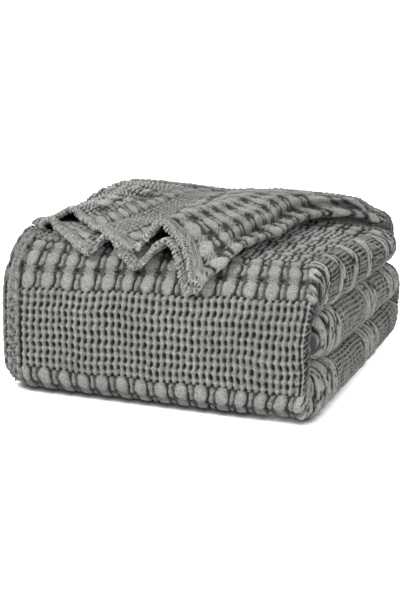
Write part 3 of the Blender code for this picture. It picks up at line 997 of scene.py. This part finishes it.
def tucked_shade_mask(name, p, q):
    """Where painted shade falls: 1 behind the front's thin right edge and at the nose's tip, 0 elsewhere.
    """
    if name == "blanket_front":
        return smooth_step(p, PLY_WIDTH + 0.009, PLY_WIDTH + 0.017) * smooth_step(q, 0.770, 0.800)
    if name == "blanket_middle":
        return 1 - smooth_step(q, begins["nose"] - 0.006, begins["nose"] + 0.012)
    return 0 * q


def shown(counts, columns):
    """For each column 1 where the weave stands in full, 0 in the two hidden plies, and from 0.2
    to 0.8 round the left turn."""
    shows = np.ones(columns)
    shows[:counts[0]] = 0.0
    shows[-counts[6]:] = 0.0
    shows[counts[0]:counts[0] + counts[1]] = np.linspace(0.2, 0.8, counts[1])
    return shows


def make_stack_piece(piece):
    """One piece of the stack: its grid, and along the normals its weave and the rolls' swelling."""
    on_top = piece.name == "blanket_top"
    grid, q, counts = strip_grid(piece)
    p = cloth_places(grid, counts)
    q = np.repeat(q[:, None], grid.shape[1], axis=1)
    climb = np.clip(p - PLY_WIDTH / 2, -0.2, 0.22) * np.interp(q, SLANT_Q, SLANT)
    p_uneven = p - ASIDE + 0.0012 * ripple(p, q, 5, 0.06)
    q_uneven = q - climb + 0.0018 * ripple(p, q, 6, 0.09)
    start = counts[0] + counts[1] + counts[2]
    fat = (p[:, start + counts[3]] - p[:, start])[:, None] / FAT
    on_roll = np.clip((p - PLY_WIDTH + 0.004) / 0.012, 0, 1) * np.clip(fat, 0, 1)
    height = weave(p_uneven, q_uneven, STACK_BANDS, STACK_START, on_roll)
    if piece.name == "blanket_front":
        height = edge_band(p, q, height)
    shows = shown(counts, grid.shape[1])
    height = height * shows * (TOP_PROUD if on_top else 1.0)
    height = height * smooth_step(q, begins["nose_tip"] + 0.010, begins["nose"])
    swell = SWELL * on_roll * shows
    # deep pits are shallower in form than in tone: the rest of their depth is painted shade
    form = blend(height, eased_deep(height), np.maximum(on_roll, on_top))
    points = grid + normals(grid) * (form + swell)[..., None]
    wall_shade_share = np.maximum(WALL_SHADE_ROLL * on_roll, WALL_SHADE_TOP * on_top)
    # painted shade on the pit walls, behind the front's edge, at the nose's tip and on the top layer's roll
    tone = blend(height, painted_wall_shade(height), wall_shade_share) - TUCKED_PAINTED_SHADE * tucked_shade_mask(piece.name, p, q)
    tone = tone - TOP_ROLL_PAINTED_SHADE * on_roll * on_top
    return cloth_mesh(piece.name, points, p, q, tone)


made = [make_stack_piece(piece) for piece in PIECES]


# %% [markdown]
# The loose end is a flat tube of its two plies, the fold on the right and the turn on the left.
# Its edge is a stitched hem: the cloth is turned under, and the washed band puckers into a thick
# crinkled rope with three rows of stitch holes.  The hem needs finer columns than the rest, so it
# is a piece of its own that laps a little over the loose end.

# %% The loose end's mesh
Tube = namedtuple("Tube", "upper lower roll left")
THROW_TUBE = Tube(250, 100, 30, 16)
HEM_TUBE = Tube(580, 460, 40, 30)
HEM_WAY = 0.962            # where the hem begins along the loose end
HEM = 0.0105               # width of the turned hem
HEM_TURN = 0.0024          # half its thickness
STITCH = 0.0046            # from stitch to stitch
STITCH_ROWS = (0.0015, 0.0060, 0.0105)
RIGHT_BANDS = (puff_rows(5, 0.0205) + SLIT * 3 + puff_rows(1, 0.0205) + waffle(4)
               + puff_rows(1, 0.0205) + waffle(40))
LEFT_BANDS = waffle(6) + SLIT + puff_rows(1, 0.0210) + waffle(4) + SLIT + waffle(40)
MIX_FROM, MIX_OVER = 0.205, 0.035     # where the bands turn from along the fold to across it
RIGHT_PROUD, LEFT_PROUD = 1.15, 1.7   # the weave is this much higher there
PULLED_OUT = 1.2           # the loose end's bands are drawn out so much along its length
WALL_SHADE_RIGHT, WALL_SHADE_LEFT = 0.15, 0.95      # how much painted shade darkens the walls of their pits
GROOVE_AT = 0.0232         # from the fold's crest to the groove beside it
GROOVE_DEEP = 0.0068
RIDGE_HIGH = 0.0035        # of the ridge past the groove
GROOVE_PAINTED_SHADE = 0.32        # painted shade in the groove: this share of its depth is taken off the tone


# Puffs and hollows of the crumpled left part, placed one by one: x and y, half widths and height, mm.
PLACED = np.array([
    (-119, -31, 9, 13, 4.5), (-100, -21, 9, 12, 4.5), (-103, 3, 8, 11, 4.0), (-122, 1, 8, 11, 4.0),
    (-64, -15, 10, 15, 5.5), (-50, -85, 9, 14, 5.5), (-73, 37, 9, 12, 4.5), (-84, 8, 7, 10, 3.0),
    (-136, -28, 7, 10, 3.5), (-92, -52, 8, 12, 3.5), (-70, -60, 7, 10, 3.0), (-130, 30, 7, 10, 3.0),
    (-54, 0, 5, 9, -7.0), (-46, -50, 6, 10, -7.0), (-66, 59, 6, 9, -6.0), (-76, -46, 5, 9, -5.0),
    (-110, -8, 4, 8, -5.0), (-131, -12, 4, 8, -4.5), (-90, 22, 5, 8, -4.5), (-123, 17, 10, 5, -4.5),
    (-108, 50, 11, 5, -4.5), (-88, 60, 11, 5, -5.0), (-84, -76, 5, 9, -4.5), (-112, -52, 5, 9, -4.0),
]) * 0.001


def placed(x, y):
    """How high the placed puffs stand, and how deep the placed hollows are, at x and y."""
    high, deep = 0 * x, 0 * x
    for px, py, half_x, half_y, top in PLACED:
        away = ((x - px) / half_x) ** 2 + ((y - py) / half_y) ** 2
        if top > 0:
            high = np.maximum(high, top * np.clip(1 - away ** 1.6, 0, 1) ** 0.4)
        else:
            deep = deep + top * np.exp(-away)
    return high, deep


def hem_band(a, e):
    """The stitched band along a hem: e is the distance from the middle of its lip, and the band
    is the same on both faces.

    Height in mm: 2.3 times half an ellipse, fullest at the lip, beaded by the stitches and
    puckered every 9 mm or so, less three rows of stitch holes.
    """
    lean = 0.35 * ripple(a, e, 17, 0.020)
    stitch = np.cos(2 * math.pi * (a / STITCH + lean) + 1.6 * ripple(a, 0 * e, 15, 0.03))
    pucker = 0.72 + 0.42 * ripple(a, e, 13, 0.0085) - 0.15 * stitch
    band = 2.3 * np.clip(1 - (e / 0.0135) ** 2, 0, 1) ** 0.5 * pucker
    holes = sum(np.exp(-((e - row) / 0.0012) ** 2) for row in STITCH_ROWS)
    deep = 4.6 * np.clip(stitch, 0, 1) ** 0.7 * holes * (0.7 + 0.6 * ripple(a, e, 19, 0.012))
    return (band - 0.6 + 0.5 * crinkle(a, e, 41) - deep) * 0.001


def turned_under(grid):
    """Rows that carry the edge of the grid round a half circle and back under the band, and each
    row's distance past the edge."""
    forward = grid[-1] - grid[-3]
    forward /= np.linalg.norm(forward, axis=1, keepdims=True)
    out = normals(grid[-3:])[-1]
    angle = np.linspace(0, math.pi, 12)[1:, None, None]
    turn = grid[-1] + HEM_TURN * (out * (np.cos(angle) - 1) + forward * np.sin(angle))
    back = np.linspace(0, HEM, 12)[1:, None, None]
    past = np.concatenate([HEM_TURN * angle[:, 0], HEM_TURN * math.pi + back[:, 0]])
    return np.concatenate([turn, turn[-1] - forward * back]), past


def loose_tube(way, tube):
    """The two plies, the fold and the turn of the loose end as one closed grid, with the places
    a (round it, 0 at the fold's crest) and b (from the back) on the flat cloth."""
    upper = loose_points(way, 1, np.linspace(0, 1, tube.upper + 1))
    lower = loose_points(way, 0, np.linspace(0, 1, tube.lower + 1))
    around = half_turn(lower[:, -1], upper[:, -1], np.full(len(way), LOOSE_ROLL), tube.roll)
    left = half_turn(upper[:, 0], lower[:, 0], np.full(len(way), -0.010), tube.left)
    grid = np.concatenate([lower, around, upper[:, ::-1], left, lower[:, :1]], axis=1)
    along_row = lengths(grid, 1)
    crest = tube.lower + tube.roll // 2
    across = np.mean(along_row - along_row[:, [crest]], axis=0)
    return grid, across, along_row


def fold_form(a, b):
    """The upper ply's shape beside the fold: the cloth sinks in a long groove, 23 mm from the
    fold's crest, and past that it stands up again in a soft ridge.  Both are bells over a."""
    along = smooth_step(b, -0.005, 0.020) * (1 - smooth_step(b, 0.200, 0.260))
    groove = GROOVE_DEEP * np.exp(-(np.abs(a - GROOVE_AT) / 0.0050) ** 2.5)
    ridge = RIDGE_HIGH * np.exp(-((a - GROOVE_AT - 0.019) / 0.011) ** 2)
    return along * (ridge - groove)


def make_loose_end():
    """The loose end from the bend at the back to a little under the hem."""
    way = np.linspace(0, 1, 237)
    grid, across, _ = loose_tube(way, THROW_TUBE)
    from_back = lengths(grid, 0)
    a, b = np.meshgrid(across, np.mean(from_back, axis=1))
    a_uneven = a + 0.0015 * ripple(a, b, 7, 0.07)
    b_uneven = b + 0.0020 * ripple(a, b, 8, 0.08)
    drawn_out = b_uneven / PULLED_OUT
    right = RIGHT_PROUD * weave(drawn_out, np.abs(a_uneven), RIGHT_BANDS, -0.010, turned=True)
    left_part = LEFT_PROUD * weave(1.35 * a_uneven, drawn_out, LEFT_BANDS, 0.0)
    share = smooth_step(np.abs(a), MIX_FROM, MIX_FROM + MIX_OVER)
    upper = smooth_step(a, 0.004, 0.012)
    high, deep = placed(grid[..., 0], grid[..., 1])
    left_part = np.maximum(left_part, upper * (high - 0.0018)) + upper * deep
    height = blend(right, left_part, share)
    in_hem = np.clip((way - HEM_WAY) / 0.006, 0, 1)[:, None]
    height = blend(height, -0.0012, in_hem)
    fold = fold_form(a_uneven, b)
    # deep pits are shallower in form than in tone: the rest of their depth is painted shade
    points = grid + normals(grid) * (eased_deep(height) + fold)[..., None]
    wall_shade_share = blend(WALL_SHADE_RIGHT, WALL_SHADE_LEFT, share)
    # painted shade: the pits' walls and the groove beside the fold are darkened in the tone
    tone = blend(height, painted_wall_shade(height), wall_shade_share) + np.minimum(GROOVE_PAINTED_SHADE * fold, 0)
    return cloth_mesh("blanket_throw", points, a, b, tone)


def make_hem():
    """The hem round the end of the loose end, turned under at its edge."""
    way = np.linspace(HEM_WAY, 1, 14)
    grid, across, along_row = loose_tube(way, HEM_TUBE)
    from_edge = lengths(grid[::-1], 0)[::-1]
    under, past = turned_under(grid)
    d = np.concatenate([from_edge * HEM / from_edge[:1], -past + 0 * grid[:1, :, 0]])
    a = np.concatenate([along_row, np.repeat(along_row[-1:], len(under), axis=0)])
    grid = np.concatenate([grid, under])
    height = hem_band(a, np.abs(d + HEM_TURN * math.pi / 2))
    # Only 0.6 mm of the depth is shaped; the deeper stitch holes are painted shade in the tone.
    points = grid + normals(grid) * np.maximum(height, -0.0006)[..., None]
    a = np.repeat(across[None, :], len(points), axis=0)
    b = HEM - d
    return cloth_mesh("blanket_hem", points, a, b, height)


throw = make_loose_end()
hem = make_hem()
made.append(throw)

# %% [markdown]
# All pieces are parts of one sheet, so they stand for the one solid and take its one finish.

# %% Every piece belongs to the one sheet
for piece in made + [hem]:
    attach(piece, "root")
    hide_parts("blanket")

print(len(made), "parts of the sheet, and a hem")
